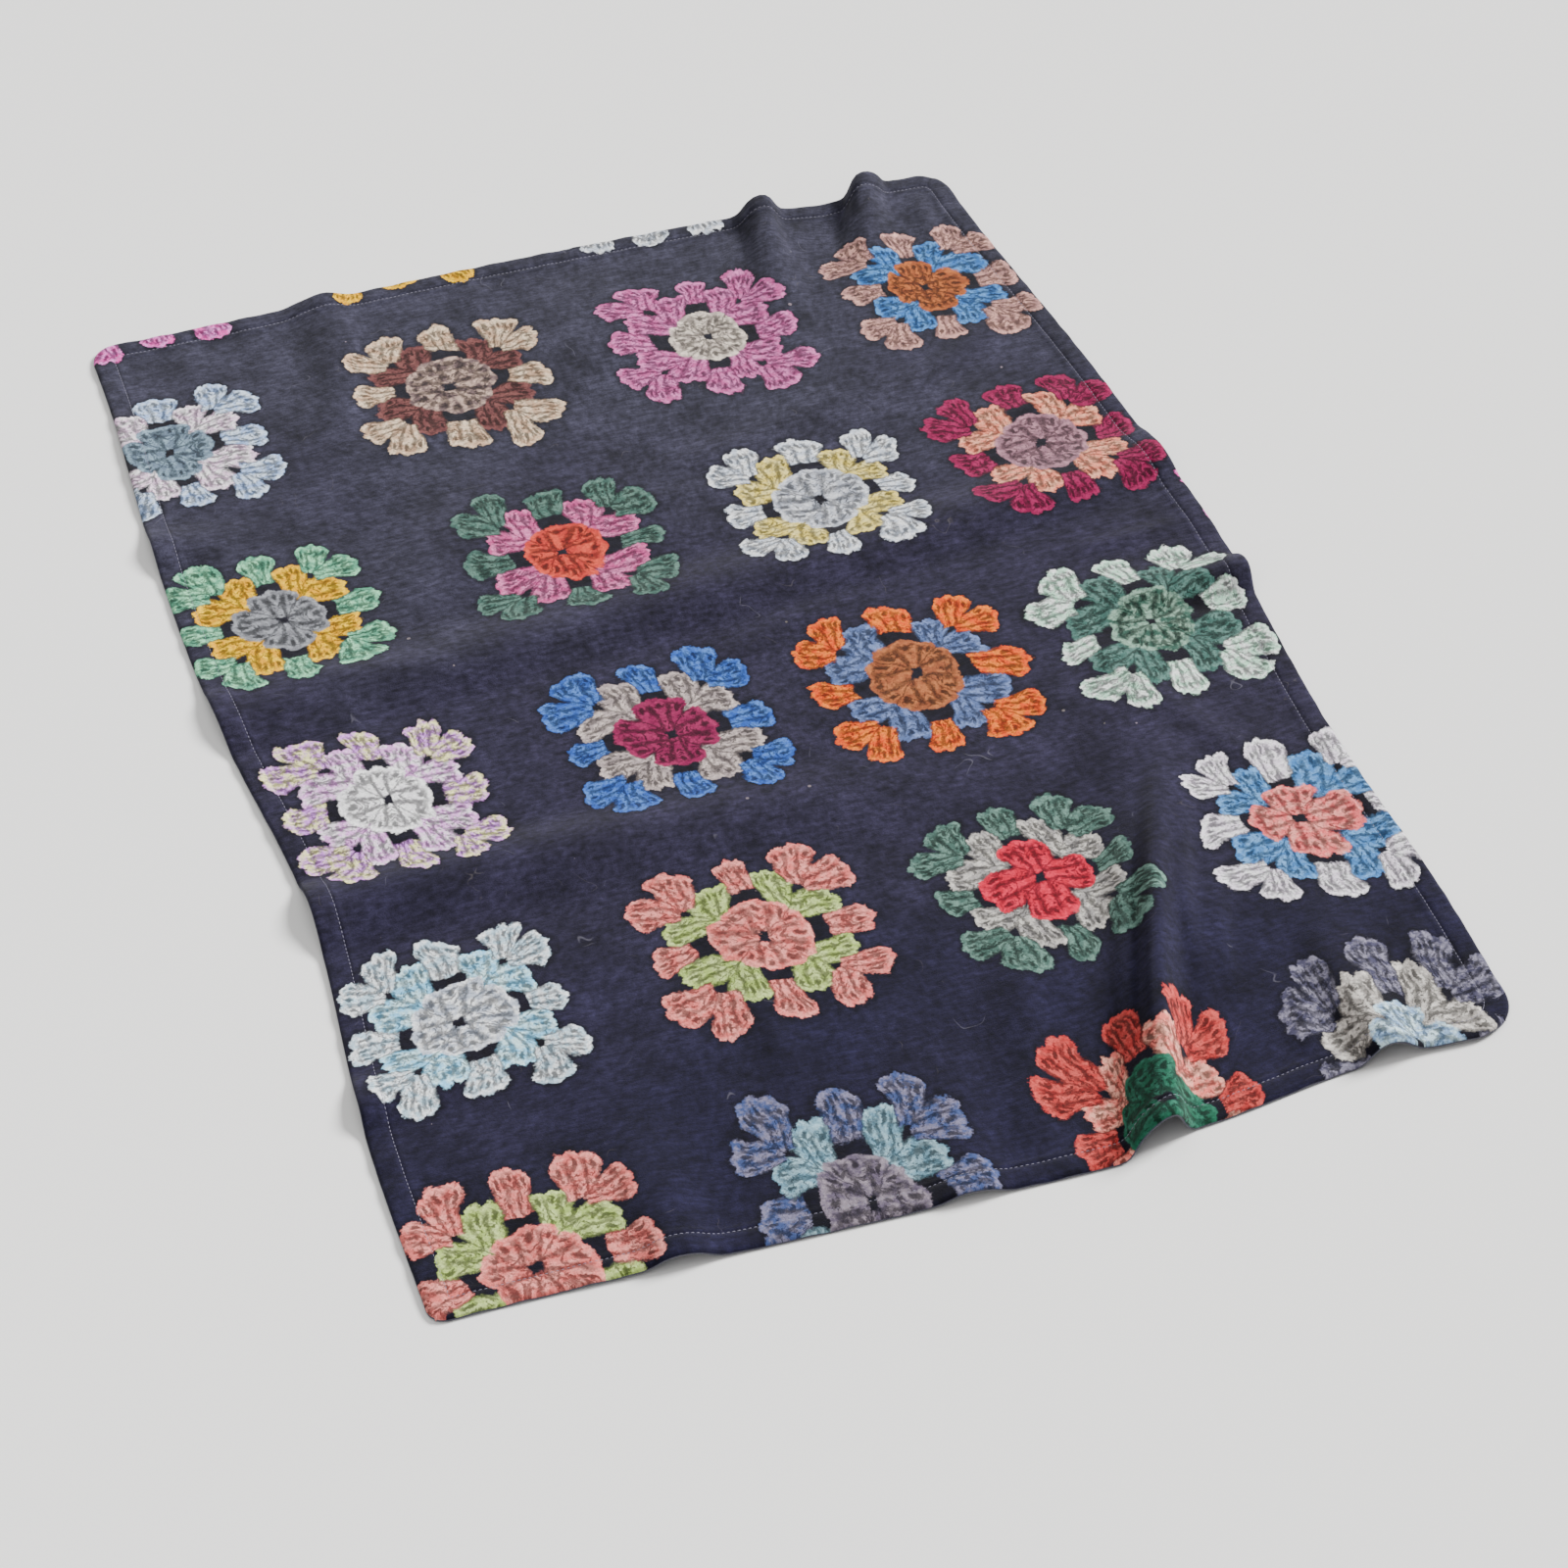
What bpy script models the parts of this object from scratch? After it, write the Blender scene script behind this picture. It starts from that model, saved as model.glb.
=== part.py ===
"""A fleece throw blanket, laid out loosely by hand on a flat surface.

The throw is one sheet with its four edges turned over once and sewn. It starts as a flat
grid of the cut size. Each grid point is rounded in at the corners, dragged a little in the
plane, and lifted by the soft folds that run through the cloth. Where nothing lifts it, the
underside lies flat at height zero, and the sheet gets its thickness upwards from there.

Units are metres, +Z is up, and +Y points from the near hem to the head hem. The origin is
on the surface, under the middle of the throw.
"""

import math
from collections import namedtuple

import bpy

# The finished sheet
WIDTH = 1.00
LENGTH = 1.40
CLOTH_THICKNESS = 0.0027
HEM_THICKNESS = 0.0044
HEM_WIDTH = 0.024

# Corner radii, as turned and sewn
NEAR_LEFT_RADIUS = 0.016
NEAR_RIGHT_RADIUS = 0.048
FAR_RADIUS = 0.030

# Grid cells across the sheet, left of the main fold, over it and right of it. Each hem has
# one more. BAND_LEFT and BAND_RIGHT bound the cells over the fold where it crosses BAND_Y.
CELLS_LEFT = 23
CELLS_OVER = 10
CELLS_RIGHT = 7
BAND_LEFT = 0.170
BAND_RIGHT = 0.325
BAND_Y = -0.46

CELLS_ACROSS = CELLS_LEFT + CELLS_OVER + CELLS_RIGHT + 2

# Grid cells along the sheet, with one for each hem
CELLS_ALONG = 56

# How far past a fold its pull on the cloth around it dies away
PULL_REACH = 0.16

# A billow under this height settles smoothly onto the surface
BILLOW_SETTLE = 0.0015

# A soft fold is a ridge from a start to an end. bow pushes its middle sideways, to the left
# of its run. height and half_width are given at both ends. lean moves the crest sideways,
# and fade_start and fade_end are the shares of its length over which it dies away: nothing
# where it runs out over a hem.
Fold = namedtuple(
    "Fold",
    "start_x start_y end_x end_y bow start_height end_height"
    " start_half_width end_half_width lean fade_start fade_end",
)
FOLDS = (
    # the main fold, from the near hem slantwise into the right half
    Fold(0.118, -0.74, 0.372, -0.15, 0.020, 0.036, 0.016, 0.050, 0.075, -0.50, 0.0, 0.50),
    # the shorter crease beside it
    Fold(0.215, -0.62, 0.318, -0.38, -0.006, 0.011, 0.010, 0.034, 0.036, 0.30, 0.45, 0.55),
    # the wave in the hem at the near right corner
    Fold(0.372, -0.74, 0.415, -0.43, 0.010, 0.021, 0.008, 0.044, 0.055, 0.35, 0.0, 0.80),
    # the low waves in the left half of the near hem
    Fold(-0.285, -0.74, -0.235, -0.44, 0.012, 0.013, 0.005, 0.046, 0.062, 0.20, 0.0, 0.85),
    Fold(-0.055, -0.74, -0.020, -0.50, -0.008, 0.010, 0.004, 0.042, 0.055, -0.20, 0.0, 0.85),
    # the broad roll where the cloth was bent over a front edge, dying away to the right
    Fold(-0.54, -0.215, 0.27, -0.250, 0.018, 0.015, 0.006, 0.060, 0.085, 0.30, 0.0, 0.55),
    # the flatter roll where it was bent the other way, right across
    Fold(-0.54, 0.085, 0.54, 0.175, -0.020, 0.010, 0.011, 0.070, 0.060, -0.25, 0.0, 0.0),
    # the bulge in the right edge
    Fold(0.55, -0.040, 0.270, -0.005, 0.008, 0.024, 0.008, 0.040, 0.060, 0.30, 0.0, 0.80),
    # the ripples of the left edge
    Fold(-0.54, -0.455, -0.360, -0.420, 0.004, 0.012, 0.005, 0.040, 0.055, -0.25, 0.0, 0.85),
    Fold(-0.54, 0.345, -0.345, 0.300, 0.004, 0.011, 0.004, 0.046, 0.062, 0.20, 0.0, 0.85),
    # the two gathers of the head hem, and a low wave to their left
    Fold(0.262, 0.74, 0.175, 0.395, 0.012, 0.024, 0.009, 0.036, 0.060, 0.30, 0.0, 0.80),
    Fold(0.418, 0.74, 0.345, 0.455, -0.008, 0.026, 0.009, 0.036, 0.055, -0.30, 0.0, 0.80),
    Fold(-0.245, 0.74, -0.290, 0.475, 0.008, 0.011, 0.004, 0.044, 0.060, 0.20, 0.0, 0.85),
)

# A drift drags the cloth round a place sideways in its own plane. It gives the sheet the
# uneven outline of a throw laid down by hand.
Drift = namedtuple("Drift", "x y shift_x shift_y reach_x reach_y")
DRIFTS = (
    # the near hem swings out before the main fold, and is drawn up at its other places
    Drift(0.06, -0.70, 0.0, -0.004, 0.16, 0.26),
    Drift(-0.46, -0.70, 0.004, 0.012, 0.22, 0.26),
    Drift(0.33, -0.70, 0.0, 0.020, 0.11, 0.20),
    Drift(0.50, -0.70, -0.008, 0.016, 0.14, 0.20),
    # the left edge is drawn in at the front roll
    Drift(-0.50, -0.20, 0.026, 0.0, 0.22, 0.21),
    Drift(-0.50, 0.62, 0.010, 0.0, 0.22, 0.20),
    # the right edge bulges between two places where it is drawn in
    Drift(0.50, 0.03, 0.008, 0.0, 0.18, 0.12),
    Drift(0.50, -0.30, -0.010, 0.0, 0.20, 0.16),
    Drift(0.50, 0.62, -0.026, 0.0, 0.26, 0.26),
    # the head hem sags between its gathers and at its left
    Drift(0.34, 0.70, 0.0, -0.012, 0.05, 0.14),
    Drift(-0.42, 0.70, 0.0, -0.012, 0.24, 0.20),
)

# A billow is one long wave of the cloth: its height, its two wave lengths across and along
# the sheet, and where it starts
Billow = namedtuple("Billow", "height length_x length_y start")
BILLOWS = (
    Billow(0.0030, 0.62, 0.47, 0.6),
    Billow(0.0024, -0.41, 0.66, 2.1),
    Billow(0.0016, 0.27, -0.38, 4.0),
)
BILLOW_SINK = 0.0014

FLEECE_NAVY = (0.030, 0.032, 0.062, 1.0)
FLEECE_ROUGHNESS = 0.95


def smooth_step(share):
    """Rises from 0 to 1 without a corner as share goes from 0 to 1."""
    share = min(max(share, 0.0), 1.0)
    return share * share * (3.0 - 2.0 * share)


def rounded(x, y):
    """Moves a point of the square-cornered sheet so that its corners are round."""
    near = y < 0.0
    radius = FAR_RADIUS
    if near:
        radius = NEAR_RIGHT_RADIUS if x > 0.0 else NEAR_LEFT_RADIUS
    past_x = abs(x) - (WIDTH / 2 - radius)
    past_y = abs(y) - (LENGTH / 2 - radius)
    if past_x <= 0.0 or past_y <= 0.0:
        return x, y
    squeeze = max(past_x, past_y) / math.hypot(past_x, past_y)
    new_x = WIDTH / 2 - radius + past_x * squeeze
    new_y = LENGTH / 2 - radius + past_y * squeeze
    return math.copysign(new_x, x), math.copysign(new_y, y)


def fold_at(fold, x, y):
    """The lift of one fold at a point of the sheet, and its pull in the plane."""
    run_x = fold.end_x - fold.start_x
    run_y = fold.end_y - fold.start_y
    length = math.hypot(run_x, run_y)
    run_x /= length
    run_y /= length
    along = ((x - fold.start_x) * run_x + (y - fold.start_y) * run_y) / length
    across = (y - fold.start_y) * run_x - (x - fold.start_x) * run_y
    share = min(max(along, 0.0), 1.0)
    across -= fold.bow * 4.0 * share * (1.0 - share)

    strength = 1.0
    if fold.fade_start:
        strength *= smooth_step(along / fold.fade_start)
    if fold.fade_end:
        strength *= smooth_step((1.0 - along) / fold.fade_end)
    height = strength * (fold.start_height + (fold.end_height - fold.start_height) * share)
    half_width = fold.start_half_width + (fold.end_half_width - fold.start_half_width) * share
    place = across / half_width

    lift = 0.0
    if abs(place) < 1.0:
        crest = place - fold.lean * (1.0 - place * place) / 2
        lift = height * math.cos(math.pi * crest / 2) ** 2

    # the cloth that goes up into the ridge is drawn in from both sides
    taken = (math.pi * height) ** 2 / (8.0 * half_width)
    if abs(place) < 1.0:
        drawn = place - math.sin(2 * math.pi * place) / (2 * math.pi)
    else:
        drawn = math.copysign(math.exp((half_width - abs(across)) / PULL_REACH), place)
    pull = -drawn * taken / 2
    return lift, -run_y * pull, run_x * pull


def drift_at(drift, x, y):
    """How far one drift moves a point of the sheet in the plane."""
    far_x = (x - drift.x) / drift.reach_x
    far_y = (y - drift.y) / drift.reach_y
    strength = math.exp(-far_x * far_x - far_y * far_y)
    return drift.shift_x * strength, drift.shift_y * strength


def billow_height(x, y):
    """The height of the long low waves, which touch the surface in many places."""
    wave = -BILLOW_SINK
    for billow in BILLOWS:
        turns = x / billow.length_x + y / billow.length_y
        wave += billow.height * math.sin(2 * math.pi * turns + billow.start)
    if wave <= 0.0:
        return 0.0
    return wave * wave / (wave + BILLOW_SETTLE)


def laid(x, y):
    """Where a point of the flat sheet lies in the throw, as laid out on the surface."""
    x, y = rounded(x, y)
    new_x, new_y, height = x, y, billow_height(x, y)
    for fold in FOLDS:
        lift, pull_x, pull_y = fold_at(fold, x, y)
        height += lift
        new_x += pull_x
        new_y += pull_y
    for drift in DRIFTS:
        shift_x, shift_y = drift_at(drift, x, y)
        new_x += shift_x
        new_y += shift_y
    return new_x, new_y, height


def row_line(step):
    """A grid line's place along the sheet, counted from the near hem's edge."""
    if step == 0:
        return -LENGTH / 2
    if step == CELLS_ALONG:
        return LENGTH / 2
    share = (step - 1) / (CELLS_ALONG - 2)
    return (share - 0.5) * (LENGTH - 2 * HEM_WIDTH)


def column_line(step, y):
    """A grid line's place across the sheet: finer over the main fold, and slanting with it."""
    if step == 0:
        return -WIDTH / 2
    if step == CELLS_ACROSS:
        return WIDTH / 2
    main = FOLDS[0]
    slant = (main.end_x - main.start_x) / (main.end_y - main.start_y)
    reach = min(max(y, main.start_y), main.end_y) - BAND_Y
    lines = (
        (1, HEM_WIDTH - WIDTH / 2),
        (1 + CELLS_LEFT, BAND_LEFT + slant * reach),
        (1 + CELLS_LEFT + CELLS_OVER, BAND_RIGHT + slant * reach),
        (CELLS_ACROSS - 1, WIDTH / 2 - HEM_WIDTH),
    )
    for (low_step, low), (high_step, high) in zip(lines, lines[1:]):
        if step <= high_step:
            return low + (high - low) * (step - low_step) / (high_step - low_step)


def fleece():
    """Flannel fleece: a short, dull pile in a very dark navy."""
    material = bpy.data.materials.new("flannel_fleece")
    material.use_nodes = True
    shader = material.node_tree.nodes["Principled BSDF"]
    shader.inputs["Base Color"].default_value = FLEECE_NAVY
    shader.inputs["Roughness"].default_value = FLEECE_ROUGHNESS
    shader.inputs["Metallic"].default_value = 0.0
    return material


def make_throw(collection):
    """The sheet: a flat grid, laid into its folds and given its thickness."""
    bpy.ops.mesh.primitive_grid_add(
        x_subdivisions=CELLS_ACROSS, y_subdivisions=CELLS_ALONG, size=1.0
    )
    throw = bpy.context.active_object
    throw.name = "throw"
    throw.data.name = "throw"
    for other in throw.users_collection:
        other.objects.unlink(throw)
    collection.objects.link(throw)

    hem = throw.vertex_groups.new(name="hem")
    places = []
    for vertex in throw.data.vertices:
        y = row_line(round((vertex.co.y + 0.5) * CELLS_ALONG))
        x = column_line(round((vertex.co.x + 0.5) * CELLS_ACROSS), y)
        inside_x = WIDTH / 2 - abs(x)
        inside_y = LENGTH / 2 - abs(y)
        in_hem = min(inside_x, inside_y) < HEM_WIDTH / 2
        hem.add([vertex.index], 1.0 if in_hem else 0.0, "REPLACE")
        places.append(laid(x, y))

    middle_x = (min(p[0] for p in places) + max(p[0] for p in places)) / 2
    middle_y = (min(p[1] for p in places) + max(p[1] for p in places)) / 2
    for vertex, (x, y, z) in zip(throw.data.vertices, places):
        vertex.co = (x - middle_x, y - middle_y, z)
    throw.data.update()

    thickness = throw.modifiers.new("cloth", "SOLIDIFY")
    thickness.thickness = HEM_THICKNESS
    thickness.offset = 1.0
    thickness.vertex_group = hem.name
    thickness.thickness_vertex_group = CLOTH_THICKNESS / HEM_THICKNESS
    throw.data.materials.append(fleece())
    throw.data.shade_smooth()
    return throw


def main():
    for old in list(bpy.data.objects):
        bpy.data.objects.remove(old, do_unlink=True)
    collection = bpy.data.collections.new("fleece_throw")
    bpy.context.scene.collection.children.link(collection)
    make_throw(collection)


main()
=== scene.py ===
"""The looks of a printed fleece throw blanket, laid out loosely on a pale floor."""

import math
from collections import namedtuple

import bpy
import numpy as np
from mathutils import Matrix, Vector


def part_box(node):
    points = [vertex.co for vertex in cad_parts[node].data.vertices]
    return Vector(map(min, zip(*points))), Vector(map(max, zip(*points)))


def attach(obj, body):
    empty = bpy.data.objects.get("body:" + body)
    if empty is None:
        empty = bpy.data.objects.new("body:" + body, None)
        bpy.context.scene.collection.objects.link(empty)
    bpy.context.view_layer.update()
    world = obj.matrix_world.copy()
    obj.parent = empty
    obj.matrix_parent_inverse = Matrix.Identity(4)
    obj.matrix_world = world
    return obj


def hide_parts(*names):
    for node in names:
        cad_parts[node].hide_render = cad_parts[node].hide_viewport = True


MM_PER_METRE = 1000.0

# The finished sheet, in metres
WIDTH = 1.00
LENGTH = 1.40
CLOTH_THICKNESS = 0.0027
HEM_THICKNESS = 0.0044
NEAR_LEFT_RADIUS = 0.016
NEAR_RIGHT_RADIUS = 0.048
FAR_RADIUS = 0.030

# The fine grid: its cell size over the field, and the grid lines beside each edge
CELL = 0.0062
EDGE_LINES = (
    0.0, 0.0006, 0.0016, 0.0032, 0.0060, 0.0100, 0.0140, 0.0175,
    0.0198, 0.0212, 0.0226, 0.0244, 0.0268, 0.0300, 0.0345,
)

# The sheet's thickness at a distance from its edge, as shares of the hem's: the turned edge is
# round, the seam pulls it in, and past the seam the turned-in layer ends
PROFILE = (
    (0.0, 0.42), (0.0006, 0.66), (0.0016, 0.86), (0.0032, 0.97), (0.0060, 1.02),
    (0.0140, 1.02), (0.0175, 0.97), (0.0198, 0.80), (0.0212, 0.64), (0.0226, 0.76),
    (0.0244, 0.84), (0.0268, 0.68), (0.0300, CLOTH_THICKNESS / HEM_THICKNESS),
)
SEAM_INSET = 0.0212

# The seam's stitches of sewing thread
STITCH_PITCH = 0.0046
STITCH_LENGTH = 0.0038
THREAD_RADIUS = 0.00030
STITCH_RISE = 0.00022
STITCH_DIP = 0.00060
STITCH_SIDES = 6
STITCH_RINGS = 6

# The step over which the cloth's slope is taken
PROBE = 0.0005

# The folds, drifts and billows in which the throw lies. They are those of its solid.
PULL_REACH = 0.16
BILLOW_SETTLE = 0.0015
BILLOW_SINK = 0.0014
Fold = namedtuple(
    "Fold",
    "start_x start_y end_x end_y bow start_height end_height"
    " start_half_width end_half_width lean fade_start fade_end",
)
FOLDS = [Fold(*row) for row in (
    # the main fold, from the near hem slantwise into the right half
    (0.118, -0.74, 0.372, -0.15, 0.020, 0.036, 0.016, 0.050, 0.075, -0.50, 0.0, 0.50),
    # the shorter crease beside it
    (0.215, -0.62, 0.318, -0.38, -0.006, 0.011, 0.010, 0.034, 0.036, 0.30, 0.45, 0.55),
    # the wave in the hem at the near right corner
    (0.372, -0.74, 0.415, -0.43, 0.010, 0.021, 0.008, 0.044, 0.055, 0.35, 0.0, 0.80),
    # the low waves in the left half of the near hem
    (-0.285, -0.74, -0.235, -0.44, 0.012, 0.013, 0.005, 0.046, 0.062, 0.20, 0.0, 0.85),
    (-0.055, -0.74, -0.020, -0.50, -0.008, 0.010, 0.004, 0.042, 0.055, -0.20, 0.0, 0.85),
    # the broad roll where the cloth was bent over a front edge, dying away to the right
    (-0.54, -0.215, 0.27, -0.250, 0.018, 0.015, 0.006, 0.060, 0.085, 0.30, 0.0, 0.55),
    # the flatter roll where it was bent the other way, right across
    (-0.54, 0.085, 0.54, 0.175, -0.020, 0.010, 0.011, 0.070, 0.060, -0.25, 0.0, 0.0),
    # the bulge in the right edge
    (0.55, -0.040, 0.270, -0.005, 0.008, 0.024, 0.008, 0.040, 0.060, 0.30, 0.0, 0.80),
    # the ripples of the left edge
    (-0.54, -0.455, -0.360, -0.420, 0.004, 0.012, 0.005, 0.040, 0.055, -0.25, 0.0, 0.85),
    (-0.54, 0.345, -0.345, 0.300, 0.004, 0.011, 0.004, 0.046, 0.062, 0.20, 0.0, 0.85),
    # the two gathers of the head hem, and a low wave to their left
    (0.262, 0.74, 0.175, 0.395, 0.012, 0.024, 0.009, 0.036, 0.060, 0.30, 0.0, 0.80),
    (0.418, 0.74, 0.345, 0.455, -0.008, 0.026, 0.009, 0.036, 0.055, -0.30, 0.0, 0.80),
    (-0.245, 0.74, -0.290, 0.475, 0.008, 0.011, 0.004, 0.044, 0.060, 0.20, 0.0, 0.85),
)]
Drift = namedtuple("Drift", "x y shift_x shift_y reach_x reach_y")
DRIFTS = [Drift(*row) for row in (
    # the near hem swings out before the main fold, and is drawn up at its other places
    (0.06, -0.70, 0.0, -0.004, 0.16, 0.26),
    (-0.46, -0.70, 0.004, 0.012, 0.22, 0.26),
    (0.33, -0.70, 0.0, 0.020, 0.11, 0.20),
    (0.50, -0.70, -0.008, 0.016, 0.14, 0.20),
    # the left edge is drawn in at the front roll
    (-0.50, -0.20, 0.026, 0.0, 0.22, 0.21),
    (-0.50, 0.62, 0.010, 0.0, 0.22, 0.20),
    # the right edge bulges between two places where it is drawn in
    (0.50, 0.03, 0.008, 0.0, 0.18, 0.12),
    (0.50, -0.30, -0.010, 0.0, 0.20, 0.16),
    (0.50, 0.62, -0.026, 0.0, 0.26, 0.26),
    # the head hem sags between its gathers and at its left
    (0.34, 0.70, 0.0, -0.012, 0.05, 0.14),
    (-0.42, 0.70, 0.0, -0.012, 0.24, 0.20),
)]
Billow = namedtuple("Billow", "height length_x length_y start")
BILLOWS = (
    Billow(0.0030, 0.62, 0.47, 0.6),
    Billow(0.0024, -0.41, 0.66, 2.1),
    Billow(0.0016, 0.27, -0.38, 4.0),
)

# Creases too fine for the solid: where they run, how high they stand (a trough is negative) and
# how wide they are. Each rises and dies away over a share of its run.
CREASE_RISE = 0.3
CREASE_FALL = 0.5
CREASE_SHARPNESS = 2.0
Crease = namedtuple("Crease", "start_x start_y end_x end_y bow height half_width")
CREASES = [Crease(*row) for row in (
    # the crest of the main fold, the sharp trough on its steep side and a line beside it
    (0.143, -0.700, 0.366, -0.196, 0.016, 0.0060, 0.011),
    (0.126, -0.693, 0.349, -0.189, 0.016, -0.0046, 0.009),
    (0.245, -0.560, 0.338, -0.300, 0.010, 0.0036, 0.010),
    # fine creases that start at the edges
    (0.060, -0.66, 0.185, -0.42, -0.010, 0.0026, 0.016),
    (0.265, -0.60, 0.345, -0.36, 0.008, 0.0030, 0.014),
    (0.300, -0.69, 0.332, -0.55, 0.004, 0.0034, 0.014),
    (0.425, -0.69, 0.470, -0.52, 0.006, 0.0028, 0.015),
    (-0.170, -0.69, -0.150, -0.57, 0.004, 0.0026, 0.016),
    (-0.400, -0.69, -0.370, -0.56, 0.005, 0.0028, 0.018),
    (-0.49, -0.120, -0.330, -0.150, 0.006, 0.0030, 0.016),
    (-0.49, -0.300, -0.300, -0.290, -0.006, 0.0028, 0.015),
    (-0.49, 0.020, -0.340, 0.040, 0.005, 0.0024, 0.016),
    (0.49, 0.060, 0.330, 0.050, 0.006, 0.0030, 0.014),
    (0.49, -0.110, 0.350, -0.080, -0.006, 0.0028, 0.015),
    (0.49, 0.300, 0.330, 0.270, 0.006, 0.0024, 0.018),
    (0.220, 0.69, 0.150, 0.500, 0.006, 0.0032, 0.013),
    (0.315, 0.69, 0.255, 0.500, -0.008, 0.0036, 0.013),
    (0.370, 0.69, 0.315, 0.560, 0.004, 0.0034, 0.012),
    (0.462, 0.69, 0.420, 0.520, 0.006, 0.0030, 0.013),
    (-0.080, 0.69, -0.100, 0.570, 0.004, 0.0024, 0.016),
    (-0.400, 0.69, -0.420, 0.560, 0.004, 0.0026, 0.016),
    (-0.150, 0.230, 0.120, 0.260, 0.012, 0.0016, 0.022),
    (0.020, -0.110, 0.250, -0.060, -0.012, 0.0018, 0.020),
    (-0.240, -0.420, -0.040, -0.370, 0.010, 0.0016, 0.022),
    (-0.300, 0.420, -0.060, 0.470, -0.010, 0.0016, 0.022),
    # soft wrinkles of the open field
    (-0.210, 0.700, -0.300, 0.360, -0.012, 0.0030, 0.026),
    (0.060, 0.660, 0.010, 0.400, 0.010, 0.0022, 0.028),
    (0.480, 0.470, 0.260, 0.330, 0.014, 0.0028, 0.024),
    (-0.460, 0.130, -0.180, 0.060, -0.012, 0.0024, 0.026),
    (-0.020, 0.300, 0.280, 0.380, -0.014, 0.0022, 0.028),
    (0.440, -0.330, 0.300, -0.010, 0.016, 0.0030, 0.024),
    (-0.340, -0.600, -0.290, -0.260, -0.010, 0.0024, 0.026),
    (-0.140, -0.560, -0.090, -0.250, 0.010, 0.0026, 0.022),
    (0.010, -0.680, 0.110, -0.380, -0.012, 0.0034, 0.024),
    (-0.050, -0.010, 0.190, 0.060, 0.012, 0.0022, 0.024),
)]

# The hem puckers a little along its seam, in two waves
PUCKER_HEIGHT = 0.0007
PUCKER_LENGTHS = (0.031, 0.047)
PUCKER_OFFSET = 1.3
PUCKER_REACH = 0.045


def linear(code):
    """A colour written as sRGB hex, as linear light with an alpha of one."""
    parts = [int(code[i:i + 2], 16) / 255 for i in (1, 3, 5)]
    light = [p / 12.92 if p <= 0.04045 else ((p + 0.055) / 1.055) ** 2.4 for p in parts]
    return (*light, 1.0)


# Yarns of the printed squares: the main shade and the shade that it flecks into
YARNS = {
    "slate blue": ("#637587", "#859dad"),
    "blush white": ("#ebc9e5", "#f4eff2"),
    "ice blue": ("#9db8e4", "#d3e1f1"),
    "mauve marl": ("#685555", "#c2a596"),
    "chestnut": ("#663a3a", "#7c4b48"),
    "oatmeal": ("#c8a486", "#e8cfb2"),
    "stone": ("#b0a399", "#e4d6c6"),
    "orchid": ("#bd5690", "#dc7cb6"),
    "rust": ("#994f2b", "#b96735"),
    "cornflower": ("#3670b6", "#5c95d2"),
    "taupe pink": ("#aa7d78", "#dba598"),
    "grey": ("#797a80", "#999ba1"),
    "golden yellow": ("#eaa600", "#ffca0c"),
    "mint marl": ("#589d7e", "#97dfb1"),
    "orange red": ("#c03830", "#da503c"),
    "rose pink": ("#c14f86", "#dc7cac"),
    "sage green": ("#3d5d54", "#5f7f73"),
    "silver": ("#a7acb8", "#d6d8de"),
    "primrose": ("#dfc862", "#eddc90"),
    "pearl": ("#c3ccda", "#eff0f1"),
    "mauve taupe": ("#8c6471", "#ae7f8c"),
    "peach": ("#ec8269", "#f4ac8d"),
    "crimson": ("#861044", "#a02457"),
    "white": ("#ece9ec", "#f5f4f4"),
    "lilac": ("#e9a3ea", "#f4ebf3"),
    "pastel mix": ("#d891ec", "#f4eeab"),
    "burgundy": ("#7f1646", "#982956"),
    "warm grey": ("#9e908f", "#cabab4"),
    "royal blue": ("#2e56ab", "#507dc8"),
    "copper": ("#955131", "#b36b40"),
    "denim": ("#526594", "#7386b6"),
    "orange": ("#e74f15", "#f57d22"),
    "forest marl": ("#33574a", "#8fb09c"),
    "teal green": ("#3e645c", "#5e8279"),
    "mint white": ("#b5e0c6", "#eef2ee"),
    "light grey": ("#b1b9c8", "#ebecee"),
    "pale blue": ("#87cbed", "#caecf2"),
    "cool white": ("#b0cad9", "#eceff1"),
    "salmon": ("#dd6e68", "#f0948a"),
    "light green": ("#a3ba62", "#c0d286"),
    "red": ("#c81c38", "#e22c4a"),
    "pebble": ("#9a9694", "#cdc8c0"),
    "sea green": ("#436158", "#6a8b7f"),
    "coral": ("#ee6a6a", "#f49a8f"),
    "sky blue": ("#4680be", "#6ca1d6"),
    "shell white": ("#e7dbea", "#f3f1f4"),
    "grey mauve": ("#5f5567", "#8a7f8a"),
    "aqua": ("#6a92a4", "#95b6c2"),
    "indigo marl": ("#41507f", "#7c7891"),
    "bottle green": ("#1b5a43", "#30705a"),
    "light salmon": ("#ec776c", "#f4aa96"),
    "red orange": ("#b93836", "#d1544e"),
    "smoke blue": ("#89aace", "#cde7ee"),
    "greige": ("#a49e98", "#d9d3cb"),
    "heather marl": ("#45435a", "#8a8699"),
    "candy pink": ("#ec54b2", "#f48edd"),
}

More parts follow.
